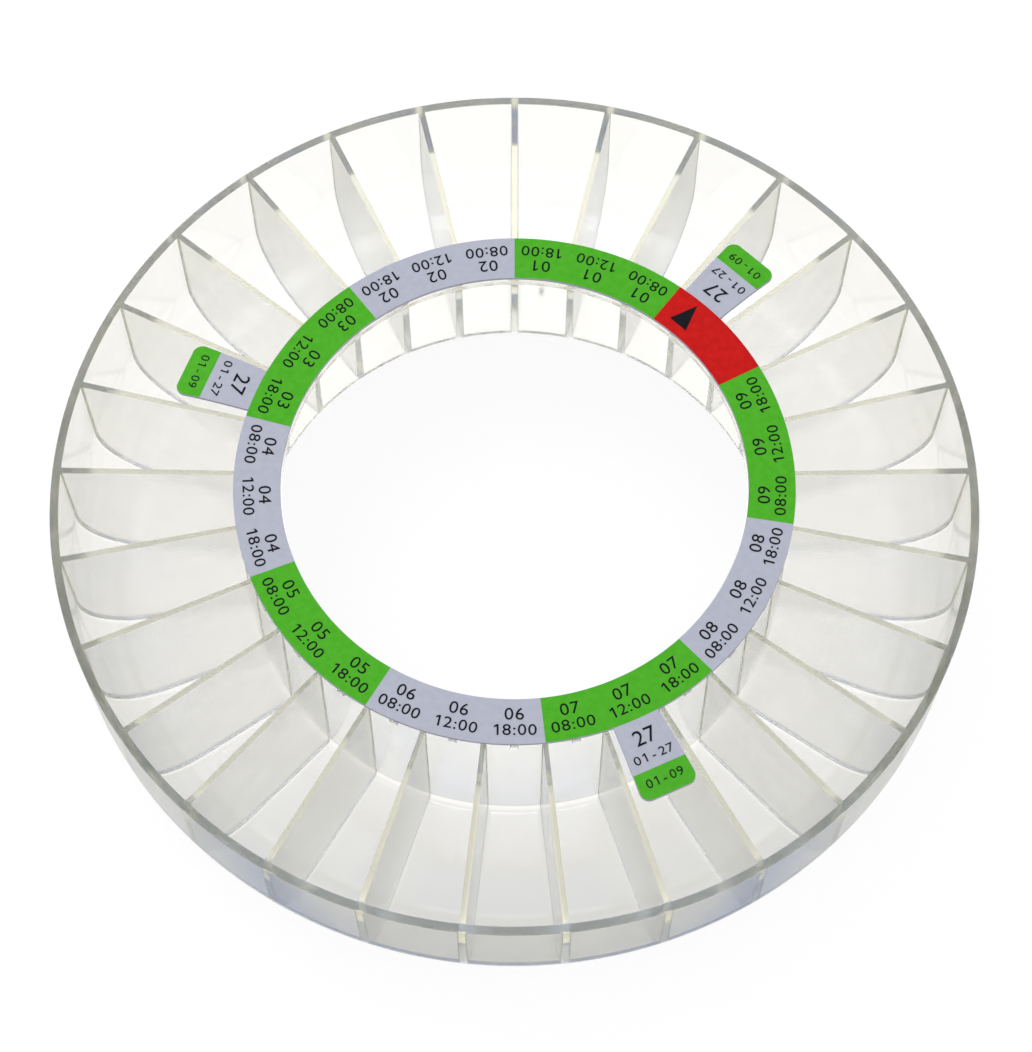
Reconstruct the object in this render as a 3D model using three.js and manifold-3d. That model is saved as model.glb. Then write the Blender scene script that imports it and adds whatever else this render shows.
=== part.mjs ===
// The ring-shaped pill tray of an automatic dispenser, with the printed dose ring that lies on its hub.
// The tray is one clear moulding: an outer wall with a rim, a round corner, a flat floor, a hub wall with
// an inward flange, and one upright divider between each two compartments. Its stretches are drawn as
// separate solids with a small seam between them, so that each one has a simple shape.
// Millimetres, +Z up. The tray's underside lies on Z = 0 and its axis is the Z axis.
import * as THREE from 'three';
import { mergeVertices } from 'three/addons/utils/BufferGeometryUtils.js';
import Module from 'manifold-3d';

const wasm = await Module();
wasm.setup();

// Counts and angles.
const compartments = 29;
const facetsPerCompartment = 4;
const firstDividerShare = 0.25;
const tabCompartments = [3, 12, 23];
const wallDraft = THREE.MathUtils.degToRad(2.6);
const dividerDraft = THREE.MathUtils.degToRad(0.35);
const cornerSteps = 5;
const filletSteps = 3;
const tabCornerSteps = 5;

// The tray: overall size, walls and floor. A compartment's length is from the hub to the rim's inner edge.
const rimRadius = 89;
const rimWidth = 1.65;
const compartmentLength = 34.45;
const wallThickness = 1.5;
const floorThickness = 1.5;
const compartmentDepth = 31.3;
const cornerRadius = 13;

// The hub and what it carries.
const hubThickness = 1.4;
const hubRise = 3.5;
const hubFillet = 1.1;
const flangeWidth = 7.1;
const flangeThickness = 1.3;
const lugWidth = 1.6;
const lugHeight = 2;

// The dividers' top edges, which are thinner at the hub than at the rim. The draft makes their feet thicker.
const dividerHubThickness = 0.9;
const dividerRimThickness = 1.2;
const dividerRise = 2.7;

// The dose ring and its tabs.
const ringThickness = 0.7;
const ringOverhang = 0.7;
const ringSetback = 0.2;
const tabLength = 15.15;
const tabRootWidth = 9.1;
const tabEndWidth = 11.2;
const tabCornerRadius = 1.9;

// Clearances: between the drawn stretches of the moulding, and under the loose ring.
const seam = 0.3;
const ringSeatGap = 0.3;

// Derived places.
const facets = compartments * facetsPerCompartment;
const pitch = 2 * Math.PI / compartments;
const compartmentMiddle = (i) => (i + firstDividerShare) * pitch + pitch / 2;
const floorTop = floorThickness;
const rimTop = floorTop + compartmentDepth;
const hubTop = rimTop + hubRise;
const rimInnerRadius = rimRadius - rimWidth;
const hubRadius = rimInnerRadius - compartmentLength;
const hubInnerRadius = hubRadius - hubThickness;
const flangeInnerRadius = hubInnerRadius - flangeWidth;
const ringInnerRadius = flangeInnerRadius + ringSetback;
const ringOuterRadius = hubRadius + ringOverhang;
const ringBottom = hubTop + ringSeatGap;

// The inside of the outer wall leans out by the draft, and turns into the floor on the round corner.
const cornerCentreZ = floorTop + cornerRadius;
const wallFootZ = cornerCentreZ - cornerRadius * Math.sin(wallDraft);
const wallFootRadius = rimInnerRadius - (rimTop - wallFootZ) * Math.tan(wallDraft);
const cornerCentreRadius = wallFootRadius - cornerRadius * Math.cos(wallDraft);

const clearPlastic = new THREE.MeshStandardMaterial({
  color: 0xe6e7e2,
  roughness: 0.25,
  metalness: 0,
  transparent: true,
  opacity: 0.45,
});
const printedPlastic = new THREE.MeshStandardMaterial({ color: 0x4bb423, roughness: 0.4, metalness: 0 });

// Points of an arc about (x, y), from one angle to another, both ends included.
function arcPoints(x, y, radius, from, to, steps) {
  const points = [];
  for (let i = 0; i <= steps; i += 1) {
    const angle = from + (to - from) * i / steps;
    points.push(new THREE.Vector2(x + radius * Math.cos(angle), y + radius * Math.sin(angle)));
  }
  return points;
}

// A closed solid of revolution. The outline is given as (radius, height), counter-clockwise.
function turned(outline) {
  const geometry = new THREE.LatheGeometry([...outline, outline[0]], facets);
  geometry.rotateX(Math.PI / 2);
  return geometry;
}

// A flat outline in (x, y) raised from z = bottom by the thickness.
function raised(outline, holes, bottom, thickness) {
  const shape = new THREE.Shape(outline);
  for (const hole of holes) shape.holes.push(new THREE.Path(hole));
  const geometry = new THREE.ExtrudeGeometry(shape, { depth: thickness, bevelEnabled: false });
  geometry.translate(0, 0, bottom);
  return geometry;
}

function toSolid(geometry) {
  const bare = geometry.clone();
  bare.deleteAttribute('normal');
  bare.deleteAttribute('uv');
  const merged = mergeVertices(bare);
  const mesh = new wasm.Mesh({
    numProp: 3,
    vertProperties: new Float32Array(merged.attributes.position.array),
    triVerts: new Uint32Array(merged.index.array),
  });
  return new wasm.Manifold(mesh);
}

function fromSolid(solid) {
  const mesh = solid.getMesh();
  const geometry = new THREE.BufferGeometry();
  geometry.setAttribute('position', new THREE.BufferAttribute(new Float32Array(mesh.vertProperties), 3));
  geometry.setIndex(new THREE.BufferAttribute(new Uint32Array(mesh.triVerts), 1));
  geometry.computeVertexNormals();
  return geometry;
}

// A radius and height on the corner's arc, at an angle below the level of the arc's centre.
function onCorner(radius, below) {
  return new THREE.Vector2(
    cornerCentreRadius + radius * Math.cos(below),
    cornerCentreZ - radius * Math.sin(below),
  );
}

function outerWall() {
  return turned([
    onCorner(cornerRadius, wallDraft),
    onCorner(cornerRadius + wallThickness, wallDraft),
    new THREE.Vector2(rimRadius, rimTop),
    new THREE.Vector2(rimInnerRadius, rimTop),
  ]);
}

function roundCorner() {
  const start = -wallDraft - seam / cornerRadius;
  const end = -Math.PI / 2;
  const outer = cornerRadius + wallThickness;
  return turned([
    ...arcPoints(cornerCentreRadius, cornerCentreZ, cornerRadius, start, end, cornerSteps),
    ...arcPoints(cornerCentreRadius, cornerCentreZ, outer, end, start, cornerSteps),
  ]);
}

// The foot of the hub wall: the wall turns into the floor on two arcs about one centre.
const hubFootRadius = hubRadius + hubFillet;

function floorPlate() {
  const inner = hubFootRadius + seam;
  const outer = cornerCentreRadius - seam;
  return turned([
    new THREE.Vector2(inner, 0),
    new THREE.Vector2(outer, 0),
    new THREE.Vector2(outer, floorTop),
    new THREE.Vector2(inner, floorTop),
  ]);
}

function hubWall() {
  const centreZ = floorTop + hubFillet;
  const left = Math.PI;
  const down = Math.PI * 3 / 2;
  const wall = turned([
    new THREE.Vector2(hubRadius, hubTop),
    new THREE.Vector2(hubInnerRadius, hubTop),
    ...arcPoints(hubFootRadius, centreZ, hubFillet + hubThickness, left, down, filletSteps),
    ...arcPoints(hubFootRadius, centreZ, hubFillet, down, left, filletSteps),
  ]);
  const lugInner = hubRadius - hubThickness / 2;
  const lugLength = ringOuterRadius - lugInner;
  let solid = toSolid(wall);
  for (let i = 0; i < compartments; i += 1) {
    const lug = new THREE.BoxGeometry(lugLength, lugWidth, lugHeight);
    lug.translate(lugInner + lugLength / 2, 0, hubTop - lugHeight / 2);
    lug.rotateZ(compartmentMiddle(i));
    solid = solid.add(toSolid(lug));
  }
  return fromSolid(solid);
}

function hubFlange() {
  const outer = hubInnerRadius - seam;
  const bottom = hubTop - flangeThickness;
  return turned([
    new THREE.Vector2(flangeInnerRadius, bottom),
    new THREE.Vector2(outer, bottom),
    new THREE.Vector2(outer, hubTop),
    new THREE.Vector2(flangeInnerRadius, hubTop),
  ]);
}

// One divider, standing along the X axis: it follows the hub's fillet, the floor, the corner and the wall.
function dividerPlate() {
  const wallStep = seam / Math.cos(wallDraft);
  const outline = [
    ...arcPoints(
      hubFootRadius, floorTop + hubFillet, hubFillet - seam, Math.PI, Math.PI * 3 / 2, filletSteps,
    ),
    ...arcPoints(
      cornerCentreRadius, cornerCentreZ, cornerRadius - seam, -Math.PI / 2, -wallDraft, cornerSteps,
    ),
    new THREE.Vector2(rimInnerRadius - wallStep, rimTop),
    new THREE.Vector2(hubRadius + seam, rimTop + dividerRise),
  ];
  const geometry = raised(outline, [], -dividerRimThickness / 2, dividerRimThickness);
  geometry.rotateX(Math.PI / 2);
  const points = geometry.getAttribute('position');
  const between = (radius, atHub, atRim) => (
    THREE.MathUtils.mapLinear(radius, hubRadius, rimInnerRadius, atHub, atRim)
  );
  for (let i = 0; i < points.count; i += 1) {
    const below = between(points.getX(i), rimTop + dividerRise, rimTop) - points.getZ(i);
    const topHalf = between(points.getX(i), dividerHubThickness / 2, dividerRimThickness / 2);
    points.setY(i, Math.sign(points.getY(i)) * (topHalf + below * Math.tan(dividerDraft)));
  }
  geometry.computeVertexNormals();
  return geometry;
}

// One tab's edge, from its root on the ring round the outer end and back, turned to its compartment.
function tabEdge(middle) {
  const rootHalf = tabRootWidth / 2;
  const endHalf = tabEndWidth / 2;
  const rootX = Math.sqrt(ringOuterRadius ** 2 - rootHalf ** 2);
  const cornerX = ringOuterRadius + tabLength - tabCornerRadius;
  const cornerY = endHalf - tabCornerRadius;
  const edge = [
    new THREE.Vector2(rootX, -rootHalf),
    ...arcPoints(cornerX, -cornerY, tabCornerRadius, -Math.PI / 2, 0, tabCornerSteps),
    ...arcPoints(cornerX, cornerY, tabCornerRadius, 0, Math.PI / 2, tabCornerSteps),
    new THREE.Vector2(rootX, rootHalf),
  ];
  return edge.map((point) => point.rotateAround(new THREE.Vector2(), middle));
}

function doseRing() {
  const tabHalfTurn = Math.asin(tabRootWidth / 2 / ringOuterRadius);
  const middles = tabCompartments.map(compartmentMiddle);
  const outline = [];
  middles.forEach((middle, i) => {
    const next = i + 1 < middles.length ? middles[i + 1] : middles[0] + 2 * Math.PI;
    const from = middle + tabHalfTurn;
    const to = next - tabHalfTurn;
    const steps = Math.round((to - from) / pitch * facetsPerCompartment);
    outline.push(...tabEdge(middle));
    outline.push(...arcPoints(0, 0, ringOuterRadius, from, to, steps).slice(1, -1));
  });
  const hole = arcPoints(0, 0, ringInnerRadius, 0, 2 * Math.PI, facets).slice(0, -1);
  return raised(outline, [hole], ringBottom, ringThickness);
}

function named(name, geometry, material) {
  const mesh = new THREE.Mesh(geometry, material);
  mesh.name = name;
  return mesh;
}

function dividers() {
  const group = new THREE.Group();
  for (let i = 0; i < compartments; i += 1) {
    const number = String(i + 1).padStart(2, '0');
    const divider = named(`divider_${number}`, dividerPlate(), clearPlastic);
    divider.rotation.z = (i + firstDividerShare) * pitch;
    group.add(divider);
  }
  return group;
}

const tray = new THREE.Group();
tray.add(
  named('tray_outer_wall', outerWall(), clearPlastic),
  named('tray_round_corner', roundCorner(), clearPlastic),
  named('tray_floor', floorPlate(), clearPlastic),
  named('tray_hub_wall', hubWall(), clearPlastic),
  named('tray_hub_flange', hubFlange(), clearPlastic),
  dividers(),
);

const pillTray = new THREE.Group();
pillTray.add(tray, named('dose_ring', doseRing(), printedPlastic));

export default pillTray;
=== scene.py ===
"""The looks of the pill tray: a clear moulding with compartments, and a printed dose ring on its hub."""
import math

import bmesh
import bpy
from mathutils import Matrix, Vector


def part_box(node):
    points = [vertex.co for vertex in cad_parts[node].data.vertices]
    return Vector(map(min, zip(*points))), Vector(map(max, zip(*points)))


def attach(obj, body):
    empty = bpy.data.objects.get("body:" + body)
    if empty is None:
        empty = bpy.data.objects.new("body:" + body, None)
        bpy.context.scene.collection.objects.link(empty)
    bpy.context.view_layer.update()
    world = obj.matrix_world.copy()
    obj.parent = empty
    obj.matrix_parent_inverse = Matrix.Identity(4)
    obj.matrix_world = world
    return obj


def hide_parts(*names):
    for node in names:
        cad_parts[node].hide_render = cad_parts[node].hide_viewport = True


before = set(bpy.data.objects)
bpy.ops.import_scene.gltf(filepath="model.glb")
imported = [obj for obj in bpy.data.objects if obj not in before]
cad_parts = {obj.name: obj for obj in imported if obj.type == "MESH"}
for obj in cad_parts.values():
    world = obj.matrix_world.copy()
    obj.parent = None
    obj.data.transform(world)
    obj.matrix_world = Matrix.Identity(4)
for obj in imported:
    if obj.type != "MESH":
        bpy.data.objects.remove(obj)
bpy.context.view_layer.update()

MM = 0.001
POINTS_PER_METRE = 1e7

# The tray's pattern of compartments.
COMPARTMENTS = 29
PITCH = math.tau / COMPARTMENTS
FIRST_DIVIDER_SHARE = 0.25
TAB_COMPARTMENTS = (3, 12, 23)

# Places that the frame gives: heights and radii of the moulding and of the dose ring.
RIM_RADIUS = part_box("tray_outer_wall")[1].x
RIM_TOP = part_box("tray_outer_wall")[1].z
FLOOR_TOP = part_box("tray_floor")[1].z
HUB_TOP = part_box("tray_hub_wall")[1].z
FLANGE_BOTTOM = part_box("tray_hub_flange")[0].z
RING_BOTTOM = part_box("dose_ring")[0].z
RING_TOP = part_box("dose_ring")[1].z

# The moulding's walls.
RIM_THICKNESS = 1.65 * MM
COMPARTMENT_LENGTH = 34.45 * MM
HUB_THICKNESS = 1.4 * MM
FLANGE_WIDTH = 7.1 * MM
RIM_INNER_RADIUS = RIM_RADIUS - RIM_THICKNESS
HUB_RADIUS = RIM_INNER_RADIUS - COMPARTMENT_LENGTH
HUB_INNER_RADIUS = HUB_RADIUS - HUB_THICKNESS
FLANGE_INNER_RADIUS = HUB_INNER_RADIUS - FLANGE_WIDTH
WALL_THICKNESS = 1.5 * MM
CORNER_RADIUS = 13 * MM
HUB_FILLET = 1.1 * MM
WALL_DRAFT = math.radians(2.6)
DIVIDER_DRAFT = math.radians(0.35)
DIVIDER_HUB_HALF = 0.45 * MM
DIVIDER_RIM_HALF = 0.6 * MM
DIVIDER_RISE = 2.7 * MM
FOOT_FILLET = 0.7 * MM
JOINT_FILLET = 0.2 * MM
EDGE_ROUND = 0.2 * MM

# The lugs, and the stub that the mould's gate leaves on one floor.
LUG_HALF_WIDTH = 0.8 * MM
LUG_HEIGHT = 2 * MM
LUG_REACH = 0.7 * MM
LUG_ROUND = 0.15 * MM
LUG_FOOT = 0.7 * MM
LUG_LEAN = math.radians(38)
LUG_LEAN_SHARES = (1, 0.5, 0)
LUG_FOOT_TURNS = (math.radians(30), math.radians(60))
GATE_RADIUS = 0.55 * MM
GATE_TOP_RADIUS = 0.4 * MM
GATE_HEIGHT = 0.8 * MM
GATE_REACH = 62.6 * MM
GATE_ANGLE = math.radians(84.8)

# The dose ring: a card with three tabs, two thin coats of print on it, and how far the tabs' ends sag.
RING_SET_IN = 0.2 * MM
RING_INNER_RADIUS = FLANGE_INNER_RADIUS + RING_SET_IN
RING_OUTER_RADIUS = HUB_RADIUS + LUG_REACH
TAB_LENGTH = 15.15 * MM
TAB_ROOT_HALF = 4.55 * MM
TAB_END_HALF = 5.6 * MM
TAB_CORNER_RADIUS = 1.9 * MM
TAB_ROOT_STRIP = 1 * MM
TAB_SAG = 1.3 * MM
TAB_PRINT_START = 63.4 * MM
PRINT_SET_IN = 0.06 * MM
CARD_TOP = RING_TOP - 0.06 * MM
COLOUR_TOP = RING_TOP - 0.03 * MM
COAT_ROOT = CARD_TOP - 0.03 * MM

# What is printed. Each line of figures has its foot's distance from the axis, its height and its width.
RED_COMPARTMENTS = (2, 3)
FIRST_DAY_COMPARTMENT = 4
DOSES_A_DAY = 3
GREEN_DAYS = range(0, 9, 2)
DOSE_HOURS = ("08:00", "12:00", "18:00")
DAY_LINE = (48.7 * MM, 2.35 * MM, 4.0 * MM)
HOUR_LINE = (51.75 * MM, 2.15 * MM, 8.6 * MM)
TAB_LINES = (
    ("27", (58.65 * MM, 3.0 * MM, 4.7 * MM)),
    ("01 - 27", (61.87 * MM, 1.67 * MM, 8.2 * MM)),
    ("01 - 09", (66.65 * MM, 1.69 * MM, 7.7 * MM)),
)
START_MARK_COMPARTMENT = 3
START_MARK = (Vector((46.8, -1.5)) * MM, Vector((52.4, 0.5)) * MM, Vector((46.8, 2.6)) * MM)

# The figures, in the built-in font's units: their height, their cells, and the figure 1 with its flag.
CAP_HEIGHT = 0.69
FIGURE_CELL = 0.54
NARROW_CELLS = {":": 0.26, "-": 0.36, " ": 0.16}
ONE_TOP = 0.682
ONE_WIDTH = 0.098
FLAG_ROOT = 0.56
FLAG_REACH = 0.14
FLAG_LOW = 0.07
FLAG_HIGH = 0.095

# The inside of the outer wall leans out by the draft, and meets the floor on the round corner.
CORNER_CENTRE_Z = FLOOR_TOP + CORNER_RADIUS
WALL_FOOT_Z = CORNER_CENTRE_Z - CORNER_RADIUS * math.sin(WALL_DRAFT)
WALL_FOOT_RADIUS = RIM_INNER_RADIUS - (RIM_TOP - WALL_FOOT_Z) * math.tan(WALL_DRAFT)
CORNER_CENTRE_RADIUS = WALL_FOOT_RADIUS - CORNER_RADIUS * math.cos(WALL_DRAFT)
HUB_FOOT_RADIUS = HUB_RADIUS + HUB_FILLET
HUB_FOOT_Z = FLOOR_TOP + HUB_FILLET

# How finely the round surfaces are drawn, and above which angles an edge is sharp or gets a bevel.
COLUMNS_BESIDE_LUG = 4
LUG_COLUMN = COLUMNS_BESIDE_LUG + 1
CORNER_STEPS = 16
HUB_FILLET_STEPS = 6
FOOT_FILLET_STEPS = 4
SMALL_ROUND_STEPS = 3
GATE_SIDES = 16
RING_COLUMNS = 12
COLUMNS_BESIDE_TAB = 3
TAB_COLUMNS = 10
TAB_ROWS = 8
TAB_CORNER_STEPS = 6
BEVEL_STEPS = 2
FIGURE_CURVE_STEPS = 4
TRAY_SHARP_ANGLE = math.radians(35)
RING_SHARP_ANGLE = math.radians(40)
BEVEL_ANGLE = math.radians(60)

# The photograph's camera: its lens, and where it stands and looks.
LENS_MM = 121.04
SENSOR_MM = 36
CAMERA_DISTANCE = 678 * MM
CAMERA_ELEVATION = math.radians(64.12)
CAMERA_ROLL = 0.001514
CAMERA_TARGET = Vector((0.294 * MM, -7.043 * MM, RIM_TOP))
CLIP_START = 10 * MM
CLIP_END = 20

# How often a ray may pass through or off the clear walls.
MAX_BOUNCES = 96

# The clear plastic: its body, the dust that shows as a sheen, its specks and its tint. Each range is the
# part of a texture's values that is used, or the roughness that it gives.
PLASTIC_COLOUR = (1, 0.995, 0.975, 1)
PLASTIC_IOR = 1.53
PLASTIC_CLEARNESS = 0.995
DUST_WEIGHT = 0.12
DUST_ROUGHNESS = 0.3
DUST_COLOUR = (0.85, 0.9, 1, 1)
NOISE_SPREAD = (0.3, 0.7)
HAZE_ROUGHNESS = (0.1, 0.14)
SPECKS_PER_METRE = 60
SPECK_EDGE = (0.012, 0.02)
SPECK_ROUGHNESS = (0.5, 0)
TINT_COLOUR = (0.89, 0.86, 0.42, 1)
TINT_DENSITY = 13

# The print: the colours of a thin and a thick coat, and its roughness.
WHITE_COAT = ((0.475, 0.49, 0.58), (0.445, 0.46, 0.55), 0.45)
GREEN_COAT = ((0.082, 0.44, 0.022), (0.066, 0.405, 0.015), 0.45)
RED_COAT = ((0.6, 0.009, 0.007), (0.52, 0.005, 0.004), 0.45)
INK_COAT = ((0.006, 0.006, 0.007), (0.003, 0.003, 0.004), 0.5)
PATCH_SPREAD = (0.35, 0.65)
GRAIN_ROUGHNESS = 0.06
PRINT_SPECULAR = 0.1


def add_camera():
    """The photograph's camera, as it was fitted to the tray's rim, dividers, hub and dose ring."""
    data = bpy.data.cameras.new("camera")
    data.lens = LENS_MM
    data.sensor_width = SENSOR_MM
    data.sensor_fit = "AUTO"
    data.clip_start = CLIP_START
    data.clip_end = CLIP_END
    camera = bpy.data.objects.new("camera", data)
    bpy.context.scene.collection.objects.link(camera)
    back = Vector((0, -math.cos(CAMERA_ELEVATION), math.sin(CAMERA_ELEVATION)))
    place = Vector((0, 0, RIM_TOP)) + CAMERA_DISTANCE * back
    look = (CAMERA_TARGET - place).to_track_quat("-Z", "Y").to_matrix().to_4x4()
    camera.matrix_world = Matrix.Translation(place) @ look @ Matrix.Rotation(CAMERA_ROLL, 4, "Z")
    bpy.context.scene.camera = camera


def grid_key(point):
    """The point on a fine grid, so that points that fall together compare as equal."""
    return tuple(round(c * POINTS_PER_METRE) for c in point)


class Shape:
    """Gathers faces by their corner points. Points that fall together become one vertex."""

    def __init__(self):
        self.points = []
        self.faces = []
        self.index = {}

    def vertex(self, point):
        """The number of the vertex at a point."""
        key = grid_key(point)
        if key not in self.index:
            self.index[key] = len(self.points)
            self.points.append(tuple(point))
        return self.index[key]

    def face(self, *points):
        """Adds a face, without the corners that fall together."""
        corners = []
        for point in points:
            v = self.vertex(point)
            if v not in corners:
                corners.append(v)
        if len(corners) > 2:
            self.faces.append(corners)

    def build(self, name, smooth_angle):
        """Makes the mesh object, with faces turned outwards and smooth below an angle."""
        mesh = bpy.data.meshes.new(name)
        mesh.from_pydata(self.points, [], self.faces)
        solid = bmesh.new()
        solid.from_mesh(mesh)
        bmesh.ops.recalc_face_normals(solid, faces=solid.faces)
        solid.to_mesh(mesh)
        solid.free()
        mesh.shade_smooth()
        mesh.set_sharp_from_angle(angle=smooth_angle)
        piece = bpy.data.objects.new(name, mesh)
        bpy.context.scene.collection.objects.link(piece)
        return piece


def apply_modifiers(piece):
    """Writes what the piece's modifiers make into its mesh."""
    graph = bpy.context.evaluated_depsgraph_get()
    mesh = bpy.data.meshes.new_from_object(piece.evaluated_get(graph))
    piece.modifiers.clear()
    piece.data = mesh


def arc(centre, radius, start, end, steps):
    """(radius, height) pairs along an arc in a section, with the angles in degrees."""
    turns = [math.radians(start + (end - start) * i / steps) for i in range(steps + 1)]
    return [(centre[0] + radius * math.cos(t), centre[1] + radius * math.sin(t)) for t in turns]


def divider_top(radius):
    """The height of a divider's top edge, which climbs from the rim to the hub."""
    return RIM_TOP + DIVIDER_RISE * (RIM_INNER_RADIUS - radius) / (RIM_INNER_RADIUS - HUB_RADIUS)


def divider_half(radius, height):
    """Half of a divider's thickness, which grows towards the rim and, by its draft, downwards."""
    share = (radius - HUB_RADIUS) / (RIM_INNER_RADIUS - HUB_RADIUS)
    top = DIVIDER_HUB_HALF + (DIVIDER_RIM_HALF - DIVIDER_HUB_HALF) * min(1, max(0, share))
    return top + max(0, divider_top(radius) - height) * math.tan(DIVIDER_DRAFT)


def pocket_section():
    """The inside of a compartment from hub top to rim, as rows of radius, height, normal and fillet."""
    walls = (HUB_TOP - LUG_HEIGHT, divider_top(HUB_RADIUS))
    rows = [(HUB_RADIUS, z, (1, 0), JOINT_FILLET) for z in reversed(walls)]
    arcs = (
        (HUB_FOOT_RADIUS, HUB_FOOT_Z, HUB_FILLET, 180, 270, HUB_FILLET_STEPS),
        (
            CORNER_CENTRE_RADIUS, CORNER_CENTRE_Z, CORNER_RADIUS,
            -90, -math.degrees(WALL_DRAFT), CORNER_STEPS,
        ),
    )
    for x, y, radius, start, end, steps in arcs:
        for r, z in arc((x, y), radius, start, end, steps):
            normal = ((x - r) / radius, (y - z) / radius)
            rows.append((r, z, normal, JOINT_FILLET + (FOOT_FILLET - JOINT_FILLET) * normal[1]))
    rows.append((RIM_INNER_RADIUS, RIM_TOP, rows[-1][2], JOINT_FILLET))
    return rows


def outside_section():
    """The rest of the moulding's section as (radius, height), from the rim down and round to the hub."""
    hub_foot = (HUB_FOOT_RADIUS, HUB_FOOT_Z)
    centre = (CORNER_CENTRE_RADIUS, CORNER_CENTRE_Z)
    rim = (RIM_RADIUS - EDGE_ROUND, RIM_TOP - EDGE_ROUND)
    return [
        (RIM_INNER_RADIUS, RIM_TOP),
        *arc(rim, EDGE_ROUND, 90, 0, SMALL_ROUND_STEPS),
        *arc(centre, CORNER_RADIUS + WALL_THICKNESS, -math.degrees(WALL_DRAFT), -90, CORNER_STEPS),
        *arc(hub_foot, HUB_FILLET + HUB_THICKNESS, 270, 180, HUB_FILLET_STEPS),
        (HUB_INNER_RADIUS, FLANGE_BOTTOM),
        (FLANGE_INNER_RADIUS, FLANGE_BOTTOM),
        (FLANGE_INNER_RADIUS, HUB_TOP),
        (HUB_RADIUS, HUB_TOP),
        (HUB_RADIUS, divider_top(HUB_RADIUS)),
    ]


def column_angles(radius, height, fillet=JOINT_FILLET):
    """Angles across one compartment: divider, end of its fillet, columns to the lug, and back."""
    divider = math.asin(divider_half(radius, height) / radius)
    first = math.asin((divider_half(radius, height) + fillet) / radius)
    lug = PITCH / 2 - math.asin(LUG_HALF_WIDTH / radius)
    steps = [first + (lug - first) * i / COLUMNS_BESIDE_LUG for i in range(COLUMNS_BESIDE_LUG + 1)]
    half = [divider, *steps]
    return half + [PITCH - a for a in reversed(half)]


def at(radius, height, angle):
    """The point at a radius and height, at an angle round the axis."""
    return radius * math.cos(angle), radius * math.sin(angle), height


def beside(radius, offset, height, angle):
    """A point at a radius, moved sideways from the divider's middle plane that stands at the angle."""
    return at(radius, height, angle + math.asin(offset / radius))


def add_rings(shape, start):
    """One compartment's share of the surfaces that run on under or over the dividers."""
    rows = outside_section()
    hub_band = len(rows) - 2
    for i, (a, b) in enumerate(zip(rows, rows[1:])):
        angles_a = column_angles(*a)
        angles_b = column_angles(*b)
        angles_a.append(PITCH + angles_a[0])
        angles_b.append(PITCH + angles_b[0])
        for c in range(len(angles_a) - 1):
            if i == hub_band and c == LUG_COLUMN:
                continue
            shape.face(
                at(a[0], a[1], start + angles_a[c]), at(b[0], b[1], start + angles_b[c]),
                at(b[0], b[1], start + angles_b[c + 1]), at(a[0], a[1], start + angles_a[c + 1]),
            )


def add_pocket(shape, start):
    """The inside of one compartment: the shell between the fillets, and its two dividers' sides."""
    rows = pocket_section()
    for i, (a, b) in enumerate(zip(rows, rows[1:])):
        angles_a = column_angles(a[0], a[1], a[3])[1:-1]
        angles_b = column_angles(b[0], b[1], b[3])[1:-1]
        for c in range(len(angles_a) - 1):
            if i == 0 and c == LUG_COLUMN - 1:
                continue
            shape.face(
                at(a[0], a[1], start + angles_a[c]), at(b[0], b[1], start + angles_b[c]),
                at(b[0], b[1], start + angles_b[c + 1]), at(a[0], a[1], start + angles_a[c + 1]),
            )
    for side, angle in ((1, start), (-1, start + PITCH)):
        add_divider_side(shape, rows, side, angle)


def fillet_points(row, side, angle, on_top):
    """The points of the small fillet between the shell and a divider, at one row of the section."""
    r, z, (nr, nz), fillet = row
    points = []
    for i in range(FOOT_FILLET_STEPS + 1):
        turn = math.pi / 2 * i / FOOT_FILLET_STEPS
        lift = fillet * (1 - math.cos(turn))
        radius = r + lift * nr
        height = divider_top(radius) if on_top else z + lift * nz
        offset = divider_half(radius, height) + fillet * (1 - math.sin(turn))
        points.append(beside(radius, side * offset, height, angle))
    return points


def add_divider_side(shape, rows, side, angle):
    """One face of a divider, the fillet round it and the small patches at its ends on the top."""
    last = len(rows) - 1
    strips = [fillet_points(row, side, angle, i in (0, last)) for i, row in enumerate(rows)]
    for a, b in zip(strips, strips[1:]):
        for j in range(FOOT_FILLET_STEPS):
            corners = (a[j], b[j], b[j + 1], a[j + 1])
            shape.face(*(corners if side < 0 else corners[::-1]))
    face = [strip[-1] for strip in strips]
    shape.face(*(face if side > 0 else face[::-1]))
    for strip, row in ((strips[0], rows[0]), (strips[-1], rows[-1])):
        corner = beside(row[0], side * divider_half(row[0], row[1]), row[1], angle)
        patch = [corner, *strip]
        outer = row is rows[-1]
        shape.face(*(patch if (side > 0) == outer else patch[::-1]))


def add_divider_top(shape, angle):
    """A divider's top edge, between the corners that its two sides share with it."""
    inner = HUB_RADIUS + JOINT_FILLET
    outer = RIM_INNER_RADIUS - JOINT_FILLET * math.cos(WALL_DRAFT)
    stations = (HUB_RADIUS, inner, outer, RIM_INNER_RADIUS)
    edges = []
    for radius in stations:
        height = divider_top(radius)
        half = divider_half(radius, height)
        edges.append([beside(radius, side * half, height, angle) for side in (-1, 1)])
    for a, b in zip(edges, edges[1:]):
        shape.face(a[0], b[0], b[1], a[1])


def lug_edge(reach, height, middle):
    """The outer edge of a lug's section at a height, with its two corners rounded."""
    corner = LUG_HALF_WIDTH - LUG_ROUND
    left = arc((-corner, reach - LUG_ROUND), LUG_ROUND, 180, 90, SMALL_ROUND_STEPS)
    right = arc((corner, reach - LUG_ROUND), LUG_ROUND, 90, 0, SMALL_ROUND_STEPS)
    return [beside(HUB_RADIUS + out, offset, height, middle) for offset, out in (*left, *right)]


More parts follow.
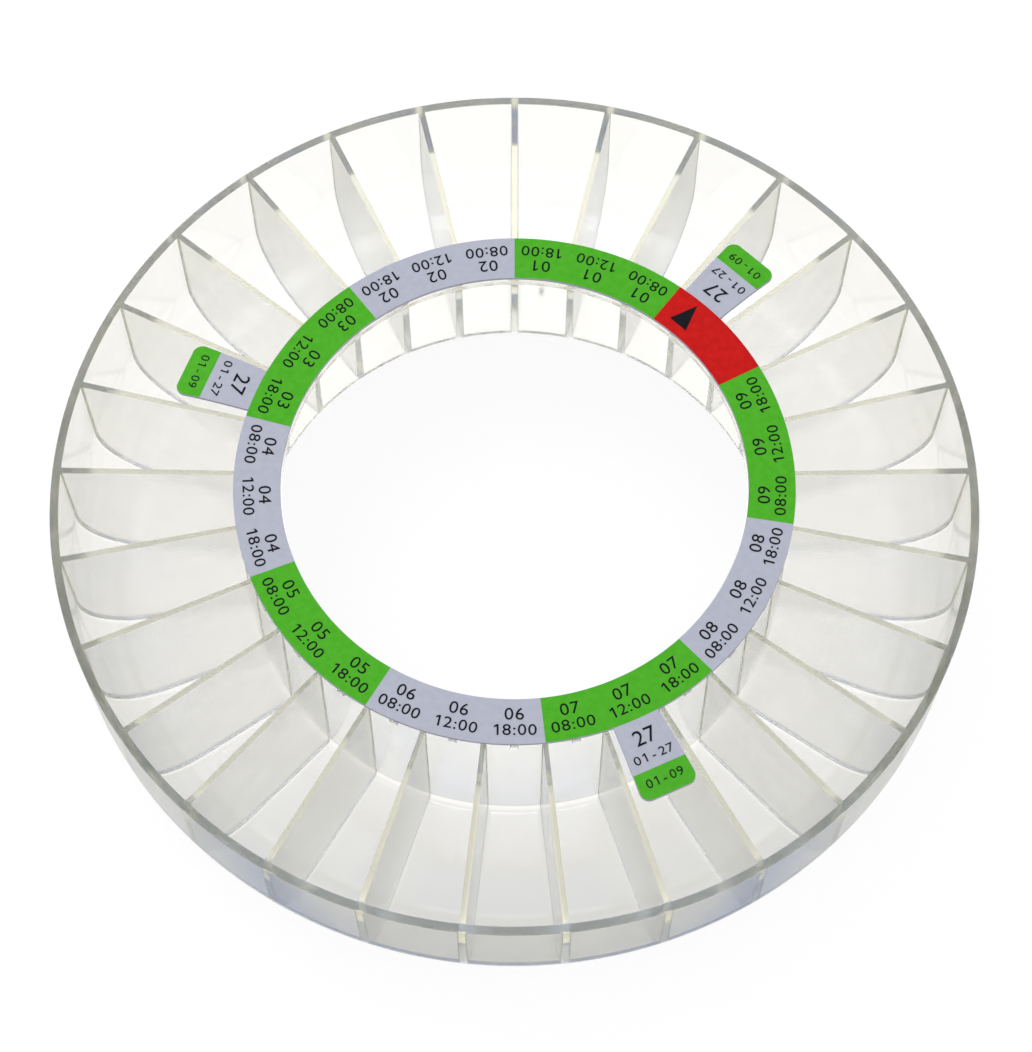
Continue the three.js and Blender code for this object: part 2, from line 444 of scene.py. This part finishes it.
def add_lug(shape, start):
    """The lug in the middle of the compartment's hub wall: a round bump just under the dose ring."""
    middle = start + PITCH / 2
    low = HUB_TOP - LUG_HEIGHT
    widest = low + LUG_FOOT
    levels = [(widest + share * (HUB_TOP - widest), LUG_LEAN * share) for share in LUG_LEAN_SHARES]
    levels += [(widest - LUG_FOOT * math.sin(turn), turn) for turn in LUG_FOOT_TURNS]
    edges = [lug_edge(LUG_REACH * math.cos(turn), height, middle) for height, turn in levels]
    for a, b in zip(edges, edges[1:]):
        for j in range(len(a) - 1):
            shape.face(a[j], b[j], b[j + 1], a[j + 1])
    roots = []
    for side, j in ((-1, 0), (1, -1)):
        corners = [edge[j] for edge in edges]
        heights = (HUB_TOP, divider_top(HUB_RADIUS), low)
        root = [beside(HUB_RADIUS, side * LUG_HALF_WIDTH, height, middle) for height in heights]
        shape.face(root[0], root[1], corners[1], corners[0])
        shape.face(root[1], root[2], *corners[:0:-1])
        roots.append(root)
    shape.face(roots[0][0], *edges[0], roots[1][0])
    shape.face(roots[0][2], *edges[-1], roots[1][2])


def make_gate_mark(material):
    """The round stub that the mould's gate leaves on the floor of one compartment at the back."""
    shape = Shape()
    stub = ((0, GATE_HEIGHT), (GATE_TOP_RADIUS, GATE_HEIGHT), (GATE_RADIUS, 0), (0, 0))
    place = Vector(at(GATE_REACH, FLOOR_TOP, GATE_ANGLE))
    turns = [math.tau * k / GATE_SIDES for k in range(GATE_SIDES + 1)]
    for a, b in zip(stub, stub[1:]):
        for t, u in zip(turns, turns[1:]):
            corners = ((*a, t), (*b, t), (*b, u), (*a, u))
            shape.face(*[tuple(place + Vector(at(r, z, turn))) for r, z, turn in corners])
    mark = shape.build("tray_gate_mark", TRAY_SHARP_ANGLE)
    mark.data.materials.append(material)
    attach(mark, "tray")


def make_tray(material):
    """The clear moulding, compartment by compartment, as one closed mesh."""
    shape = Shape()
    for i in range(COMPARTMENTS):
        start = (i + FIRST_DIVIDER_SHARE) * PITCH
        add_rings(shape, start)
        add_pocket(shape, start)
        add_lug(shape, start)
        add_divider_top(shape, start)
    tray = shape.build("tray_moulding", TRAY_SHARP_ANGLE)
    even = tray.modifiers.new("even_normals", "WEIGHTED_NORMAL")
    even.keep_sharp = True
    apply_modifiers(tray)
    tray.data.materials.append(material)
    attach(tray, "tray")
    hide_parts(*[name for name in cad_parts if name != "dose_ring"])


def compartment_middle(i):
    """The angle of a compartment's middle."""
    return (i + FIRST_DIVIDER_SHARE + 0.5) * PITCH


def sagged(point):
    """The point, lowered by the tabs' sag. Only the tabs reach past the ring's outer edge."""
    x, y, z = point
    along = max(0, (math.hypot(x, y) - RING_OUTER_RADIUS) / TAB_LENGTH)
    return x, y, z - TAB_SAG * along ** 2


def add_slab(shape, faces, bottom, top):
    """A closed slab over flat faces, which are given as counter-clockwise (x, y) points."""
    edges = {}
    for face in faces:
        shape.face(*[sagged((x, y, top)) for x, y in face])
        shape.face(*[sagged((x, y, bottom)) for x, y in reversed(face)])
        for a, b in zip(face, [*face[1:], face[0]]):
            ends = (grid_key(a), grid_key(b))
            edges[ends] = (a, b)
    for ends, (a, b) in edges.items():
        if ends[0] != ends[1] and ends[::-1] not in edges:
            shape.face(
                sagged((*a, bottom)), sagged((*b, bottom)), sagged((*b, top)), sagged((*a, top)),
            )


def polar(radius, angle):
    """The flat point at a radius and angle."""
    return radius * math.cos(angle), radius * math.sin(angle)


def ring_angles(i):
    """Angles across one compartment's share of the ring. Over a tab they match the tab's columns."""
    start = compartment_middle(i) - PITCH / 2
    if i not in TAB_COMPARTMENTS:
        return [start + PITCH * c / RING_COLUMNS for c in range(RING_COLUMNS + 1)]
    tab = [compartment_middle(i) + a for a in tab_root_angles()]
    count = COLUMNS_BESIDE_TAB
    left = [start + (tab[0] - start) * c / count for c in range(count)]
    right = [tab[-1] + (start + PITCH - tab[-1]) * c / count for c in range(1, count + 1)]
    return [*left, *tab, *right]


def tab_shares():
    """Where a tab's columns stand across it, from -1 to 1."""
    return [2 * c / TAB_COLUMNS - 1 for c in range(TAB_COLUMNS + 1)]


def tab_root_angles():
    """The angles of a tab's columns on the ring's edge, from the tab's middle."""
    return [math.asin(share * TAB_ROOT_HALF / RING_OUTER_RADIUS) for share in tab_shares()]


def ring_faces(compartments, inner, outer):
    """The flat faces of a stretch of the ring that covers the given compartments."""
    faces = []
    for i in compartments:
        angles = ring_angles(i)
        for a, b in zip(angles, angles[1:]):
            faces.append([polar(inner, a), polar(outer, a), polar(outer, b), polar(inner, b)])
    return faces


def tab_half_width(reach):
    """Half of a tab's width at a reach from the axis. It widens outwards to two round corners."""
    corner = RING_OUTER_RADIUS + TAB_LENGTH - TAB_CORNER_RADIUS
    root = math.sqrt(RING_OUTER_RADIUS ** 2 - TAB_ROOT_HALF ** 2)
    if reach <= corner:
        return TAB_ROOT_HALF + (TAB_END_HALF - TAB_ROOT_HALF) * (reach - root) / (corner - root)
    rounded = math.sqrt(max(0, TAB_CORNER_RADIUS ** 2 - (reach - corner) ** 2))
    return TAB_END_HALF - TAB_CORNER_RADIUS + rounded


def tab_faces(i, first, set_in):
    """The flat faces of a tab, from a first reach outwards, or from the ring where that is None."""
    corner = RING_OUTER_RADIUS + TAB_LENGTH - TAB_CORNER_RADIUS
    start = first or RING_OUTER_RADIUS + TAB_ROOT_STRIP
    reaches = [start + (corner - start) * k / TAB_ROWS for k in range(TAB_ROWS + 1)]
    turns = [math.radians(90 * k / TAB_CORNER_STEPS) for k in range(1, TAB_CORNER_STEPS + 1)]
    reaches += [corner + TAB_CORNER_RADIUS * math.sin(turn) for turn in turns]
    reaches[-1] -= set_in
    rows = [[(r, share * (tab_half_width(r) - set_in)) for share in tab_shares()] for r in reaches]
    if first is None:
        rows.insert(0, [polar(RING_OUTER_RADIUS, a) for a in tab_root_angles()])
    turn = Matrix.Rotation(compartment_middle(i), 2)
    rows = [[tuple(turn @ Vector(point)) for point in row] for row in rows]
    faces = []
    for a, b in zip(rows, rows[1:]):
        for c in range(TAB_COLUMNS):
            faces.append([a[c], b[c], b[c + 1], a[c + 1]])
    return faces


def make_ring_piece(name, shape, material):
    """A piece of the dose ring, with its material, on the ring's body."""
    piece = shape.build(name, RING_SHARP_ANGLE)
    piece.data.materials.append(material)
    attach(piece, "dose_ring")
    return piece


def make_card(material):
    """The plastic card with its three tabs, with softened edges."""
    shape = Shape()
    faces = ring_faces(range(COMPARTMENTS), RING_INNER_RADIUS, RING_OUTER_RADIUS)
    for i in TAB_COMPARTMENTS:
        faces += tab_faces(i, None, 0)
    add_slab(shape, faces, RING_BOTTOM, CARD_TOP)
    card = make_ring_piece("ring_white_card", shape, material)
    bevel = card.modifiers.new("soft_edges", "BEVEL")
    bevel.width = PRINT_SET_IN
    bevel.segments = BEVEL_STEPS
    bevel.limit_method = "ANGLE"
    bevel.angle_limit = BEVEL_ANGLE
    apply_modifiers(card)
    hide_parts("dose_ring")


def make_colour_print(name, compartments, with_tab_ends, material):
    """A coat of colour over some compartments' share of the ring and, if asked, over the tabs' ends."""
    shape = Shape()
    inner = RING_INNER_RADIUS + PRINT_SET_IN
    outer = RING_OUTER_RADIUS - PRINT_SET_IN
    add_slab(shape, ring_faces(compartments, inner, outer), COAT_ROOT, COLOUR_TOP)
    if with_tab_ends:
        for i in TAB_COMPARTMENTS:
            add_slab(shape, tab_faces(i, TAB_PRINT_START, PRINT_SET_IN), COAT_ROOT, COLOUR_TOP)
    make_ring_piece(name, shape, material)


def figure_faces(figure):
    """The flat faces of one figure, with its foot on y = 0. The font's 1 has no flag, so it is drawn."""
    if figure == "1":
        low = (-FLAG_REACH, FLAG_ROOT - FLAG_LOW)
        high = (-FLAG_REACH, ONE_TOP - FLAG_HIGH)
        return [
            [(0, 0), (ONE_WIDTH, 0), (ONE_WIDTH, FLAG_ROOT), (0, FLAG_ROOT)],
            [(0, FLAG_ROOT), (ONE_WIDTH, FLAG_ROOT), (ONE_WIDTH, ONE_TOP), (0, ONE_TOP)],
            [low, (0, FLAG_ROOT), (0, ONE_TOP), high],
        ]
    curve = bpy.data.curves.new("figures", "FONT")
    curve.body = figure
    curve.resolution_u = FIGURE_CURVE_STEPS
    outline = bpy.data.objects.new("figures", curve)
    mesh = outline.to_mesh()
    faces = [[tuple(mesh.vertices[v].co[:2]) for v in face.vertices] for face in mesh.polygons]
    faces = [face if mesh.polygons[k].normal.z > 0 else face[::-1] for k, face in enumerate(faces)]
    bpy.data.objects.remove(outline)
    bpy.data.curves.remove(curve)
    return faces


def line_faces(text):
    """The flat faces of a line of figures, each in the middle of its own cell, and the line's width."""
    faces = []
    pen = 0
    for figure in text:
        cell = NARROW_CELLS.get(figure, FIGURE_CELL)
        if figure != " ":
            drawn = figure_faces(figure)
            across = [x for face in drawn for x, y in face]
            shift = pen + cell / 2 - (min(across) + max(across)) / 2
            faces += [[(x + shift, y) for x, y in face] for face in drawn]
        pen += cell
    return faces, pen


def add_figures(shape, text, middle, place):
    """A line of figures across the ring at an angle. Its foot faces outwards."""
    foot, height, width = place
    faces, length = line_faces(text)
    up = height / CAP_HEIGHT
    across = width / length
    turn = Matrix.Rotation(middle + math.pi / 2, 2)
    placed = []
    for face in faces:
        points = [Vector(((x - length / 2) * across, y * up - foot)) for x, y in face]
        placed.append([tuple(turn @ point) for point in points])
    add_slab(shape, placed, COAT_ROOT, RING_TOP)


def make_ink(material):
    """The black print: a day and an hour for each dose, numbers on the tabs, and the start mark."""
    shape = Shape()
    for dose in range(COMPARTMENTS - len(RED_COMPARTMENTS)):
        middle = compartment_middle(FIRST_DAY_COMPARTMENT + dose)
        day, hour = divmod(dose, DOSES_A_DAY)
        add_figures(shape, f"{day + 1:02d}", middle, DAY_LINE)
        add_figures(shape, DOSE_HOURS[hour], middle, HOUR_LINE)
    for i in TAB_COMPARTMENTS:
        for text, place in TAB_LINES:
            add_figures(shape, text, compartment_middle(i), place)
    turn = Matrix.Rotation(compartment_middle(START_MARK_COMPARTMENT), 2)
    add_slab(shape, [[tuple(turn @ corner) for corner in START_MARK]], COAT_ROOT, RING_TOP)
    make_ring_piece("ring_ink_print", shape, material)


def make_dose_ring():
    """The card and its coats of print, each with a material of its own."""
    doses = [day * DOSES_A_DAY + dose for day in GREEN_DAYS for dose in range(DOSES_A_DAY)]
    days = [(FIRST_DAY_COMPARTMENT + dose) % COMPARTMENTS for dose in doses]
    white = printed("ring_white", *WHITE_COAT)
    green = printed("ring_green", *GREEN_COAT)
    red = printed("ring_red", *RED_COAT)
    make_card(white)
    make_colour_print("ring_green_print", days, True, green)
    make_colour_print("ring_red_print", RED_COMPARTMENTS, False, red)
    make_ink(printed("ring_ink", *INK_COAT))


def node(tree, kind, *inputs, **settings):
    """Adds a node and gives its first output. Inputs are values or outputs, in the sockets' order."""
    made = tree.nodes.new("ShaderNode" + kind)
    for key, value in settings.items():
        setattr(made, key, value)
    for socket, value in zip(made.inputs, inputs):
        if isinstance(value, bpy.types.NodeSocket):
            tree.links.new(value, socket)
        elif value is not None:
            socket.default_value = value
    return made.outputs[0]


def ramp(tree, value, *stops):
    """A colour ramp with (position, colour) stops."""
    made = node(tree, "ValToRGB", value).node
    elements = made.color_ramp.elements
    while len(elements) < len(stops):
        elements.new(1)
    for element, (position, colour) in zip(elements, stops):
        element.position = position
        element.color = (*colour, 1)
    return made.outputs[0]


def mix(tree, factor, first, second):
    """A mix of two colours, each an output or a colour. Sockets 6 and 7 of the node are its colours."""
    made = node(tree, "Mix", factor, data_type="RGBA").node
    for socket, value in zip(made.inputs[6:8], (first, second)):
        if isinstance(value, bpy.types.NodeSocket):
            tree.links.new(value, socket)
        else:
            socket.default_value = (*value, 1)
    return made.outputs[2]


def noise(tree, scale, detail=2):
    """Soft noise in the object's own space, with the scale in waves per metre."""
    place = node(tree, "TexCoord").node.outputs["Object"]
    made = node(tree, "TexNoise", place).node
    made.inputs["Scale"].default_value = scale
    made.inputs["Detail"].default_value = detail
    return made.outputs[0]


def bump(tree, height, strength, depth):
    """A normal, tilted by a height that is an output. The depth is in metres."""
    made = node(tree, "Bump").node
    made.inputs["Strength"].default_value = strength
    made.inputs["Distance"].default_value = depth
    tree.links.new(height, made.inputs["Height"])
    return made.outputs[0]


def remap(tree, value, spread, result):
    """A value that runs over one range, turned to run over another."""
    return node(tree, "MapRange", value, *spread, *result)


def clear_plastic():
    """Clear styrene with a faint yellow tint, a slight flow in its surface, haze and a few specks."""
    material = bpy.data.materials.new("clear_plastic")
    material.use_nodes = True
    tree = material.node_tree
    shader = tree.nodes["Principled BSDF"]
    shader.inputs["Base Color"].default_value = PLASTIC_COLOUR
    shader.inputs["IOR"].default_value = PLASTIC_IOR
    shader.inputs["Transmission Weight"].default_value = PLASTIC_CLEARNESS
    shader.inputs["Sheen Weight"].default_value = DUST_WEIGHT
    shader.inputs["Sheen Roughness"].default_value = DUST_ROUGHNESS
    shader.inputs["Sheen Tint"].default_value = DUST_COLOUR
    haze = remap(tree, noise(tree, scale=180, detail=4), NOISE_SPREAD, HAZE_ROUGHNESS)
    place = node(tree, "TexCoord").node.outputs["Object"]
    dots = node(tree, "TexVoronoi", place).node
    dots.inputs["Scale"].default_value = SPECKS_PER_METRE
    specks = remap(tree, dots.outputs["Distance"], SPECK_EDGE, SPECK_ROUGHNESS)
    tree.links.new(node(tree, "Math", haze, specks, operation="MAXIMUM"), shader.inputs["Roughness"])
    flow = bump(tree, noise(tree, scale=45), strength=0.15, depth=0.05 * MM)
    tree.links.new(flow, shader.inputs["Normal"])
    volume = tree.nodes.new("ShaderNodeVolumeAbsorption")
    volume.inputs["Color"].default_value = TINT_COLOUR
    volume.inputs["Density"].default_value = TINT_DENSITY
    tree.links.new(volume.outputs["Volume"], tree.nodes["Material Output"].inputs["Volume"])
    return material


def printed(name, thin, thick, roughness):
    """A coat of print that lies thinner and thicker in soft patches, on card with a fine grain."""
    material = bpy.data.materials.new(name)
    material.use_nodes = True
    tree = material.node_tree
    shader = tree.nodes["Principled BSDF"]
    shader.inputs["Specular IOR Level"].default_value = PRINT_SPECULAR
    patches = remap(tree, noise(tree, scale=700, detail=5), PATCH_SPREAD, (0, 1))
    grain = noise(tree, scale=5000, detail=1)
    tree.links.new(mix(tree, patches, thin, thick), shader.inputs["Base Color"])
    span = (roughness - GRAIN_ROUGHNESS, roughness + GRAIN_ROUGHNESS)
    uneven = remap(tree, grain, NOISE_SPREAD, span)
    tree.links.new(uneven, shader.inputs["Roughness"])
    tree.links.new(bump(tree, grain, strength=0.25, depth=0.01 * MM), shader.inputs["Normal"])
    return material


# What mirrored and refracted rays see. Under the clear floor is a light table, with stops in metres from
# its centre. Above is a room, with stops from 0 on the camera's side to 1 behind the tray.
TABLE_DEPTH = 100 * MM
TABLE_CENTRE = (0, 0.15, -TABLE_DEPTH)
# From about 0.19 to 0.28 m the table's light holds a painted shadow of the tray, darkest and bluest at
# 0.243 m.
TABLE_LIGHT_AND_PAINTED_SHADOW = (
    (0.06, (1.08, 1.08, 1.08)),
    (0.129, (1.01, 1.0, 0.98)),
    (0.189, (0.74, 0.74, 0.72)),
    (0.213, (0.69, 0.69, 0.67)),
    (0.23, (0.52, 0.54, 0.58)),
    (0.243, (0.06, 0.14, 0.43)),
    (0.256, (0.48, 0.49, 0.48)),
    (0.275, (0.5, 0.5, 0.46)),
    (0.31, (0.85, 0.86, 0.86)),
    (0.9, (1.0, 1.04, 1.12)),
)
ROOM_LIGHT = (
    (0.31, (0.31, 0.37, 0.74)),
    (0.5, (1.2, 1.25, 1.5)),
    (0.6, (1.5, 1.5, 1.7)),
    (0.64, (0.45, 0.52, 0.9)),
    (0.69, (0.45, 0.52, 0.9)),
    (0.72, (1.3, 1.35, 1.65)),
    (0.75, (1.3, 1.35, 1.65)),
    (0.78, (2.0, 2.0, 2.15)),
    (0.82, (2.0, 2.0, 2.15)),
    (0.85, (0.6, 0.7, 1.15)),
)
WHITE = (1, 1, 1)

# The stage: half the planes' width, the gap under the tray, what the floor shows the camera and the
# object, how clear it is outside the hub, the painted light that brightens it inside the hub, and the
# plain light on the object.
STAGE_HALF = 4
FLOOR_GAP = 0.02 * MM
FLOOR_GLOW = (0.91, 0.91, 0.91, 1)
FLOOR_SHADE = (0.13, 0.13, 0.13, 1)
FLOOR_COLOUR = (0.9, 0.9, 0.9, 1)
FLOOR_ROUGHNESS = 0.8
FLOOR_CLEARNESS_AND_PAINTED_HUB_LIGHT = ((0.049, (1.15, 1.15, 1.15)), (0.0525, WHITE))
SKY_LIGHT = (0.8, 0.8, 0.8)


def ray_kinds(tree):
    """Whether a ray comes straight from the camera, and whether it was mirrored or refracted."""
    path = node(tree, "LightPath").node
    mirrored = path.outputs["Is Glossy Ray"]
    refracted = path.outputs["Is Transmission Ray"]
    return path.outputs["Is Camera Ray"], node(tree, "Math", mirrored, refracted, operation="MAXIMUM")


def add_world():
    """White for the camera, plain light for the object, and the room for mirrored and refracted rays."""
    world = bpy.data.worlds.new("studio")
    bpy.context.scene.world = world
    world.use_nodes = True
    tree = world.node_tree
    straight, turned = ray_kinds(tree)
    split = node(tree, "SeparateXYZ", node(tree, "TexCoord")).node
    backward = node(tree, "MapRange", split.outputs["Y"], -1, 1, 0, 1)
    room = ramp(tree, backward, *ROOM_LIGHT)
    light = mix(tree, turned, SKY_LIGHT, room)
    tree.links.new(mix(tree, straight, light, WHITE), tree.nodes["Background"].inputs["Color"])
    world.cycles.sampling_method = "NONE"


def add_plane(name, height):
    """A large level plane for the stage, and its material's tree."""
    shape = Shape()
    half = STAGE_HALF
    shape.face((-half, -half, 0), (half, -half, 0), (half, half, 0), (-half, half, 0))
    plane = shape.build(name, TRAY_SHARP_ANGLE)
    plane.location.z = height
    material = bpy.data.materials.new(name)
    material.use_nodes = True
    plane.data.materials.append(material)
    return material.node_tree


def distance(tree, centre):
    """How far the shaded point is from a centre."""
    place = node(tree, "NewGeometry")
    return node(tree, "VectorMath", place, centre, operation="DISTANCE").node.outputs["Value"]


def add_floor():
    """A floor that the camera sees white, and the light table that refracted rays see through it, with
    painted light inside the hub and a painted shadow of the tray on the table.
    """
    tree = add_plane("floor", -FLOOR_GAP)
    surface = tree.nodes["Principled BSDF"]
    surface.inputs["Base Color"].default_value = FLOOR_COLOUR
    surface.inputs["Roughness"].default_value = FLOOR_ROUGHNESS
    straight, turned = ray_kinds(tree)
    # Inside the hub the floor passes 1.15 times the table's light: painted light.
    through = node(tree, "BsdfTransparent", ramp(tree, distance(tree, (0, 0, 0)), *FLOOR_CLEARNESS_AND_PAINTED_HUB_LIGHT))
    seen = node(tree, "MixShader", turned, surface.outputs[0], through)
    glow = node(tree, "Emission", FLOOR_GLOW)
    shadowed = node(tree, "AddShader", glow, node(tree, "BsdfDiffuse", FLOOR_SHADE))
    seen = node(tree, "MixShader", straight, seen, shadowed)
    tree.links.new(seen, tree.nodes["Material Output"].inputs["Surface"])
    tree = add_plane("light_table", -TABLE_DEPTH)
    # The table's ramp holds a painted shadow of the tray around its footprint.
    glow = node(tree, "Emission", ramp(tree, distance(tree, TABLE_CENTRE), *TABLE_LIGHT_AND_PAINTED_SHADOW))
    tree.links.new(glow, tree.nodes["Material Output"].inputs["Surface"])


def add_lamp(name, place, size, power, mirrored):
    """A round lamp that faces the tray. It gives only highlights, or only plain light."""
    data = bpy.data.lights.new(name, "AREA")
    data.shape = "DISK"
    data.size = size
    data.energy = power
    lamp = bpy.data.objects.new(name, data)
    facing = (Vector((0, 0, 0)) - Vector(place)).to_track_quat("-Z", "Y").to_matrix().to_4x4()
    lamp.matrix_world = Matrix.Translation(place) @ facing
    bpy.context.scene.collection.objects.link(lamp)
    lamp.visible_glossy = mirrored
    lamp.visible_diffuse = not mirrored
    lamp.visible_transmission = False


bpy.context.scene.view_settings.view_transform = "Standard"
bpy.context.scene.cycles.use_denoising = True
bpy.context.scene.cycles.max_bounces = MAX_BOUNCES
bpy.context.scene.cycles.transmission_bounces = MAX_BOUNCES
bpy.context.scene.cycles.glossy_bounces = MAX_BOUNCES
add_camera()
add_world()
add_floor()
add_lamp("softbox", place=(-0.5, 0.7, 1.2), size=1.0, power=6, mirrored=False)
add_lamp("highlight", place=(0, -0.3, 1.1), size=0.6, power=3.5, mirrored=True)
plastic = clear_plastic()
make_tray(plastic)
make_gate_mark(plastic)
make_dose_ring()
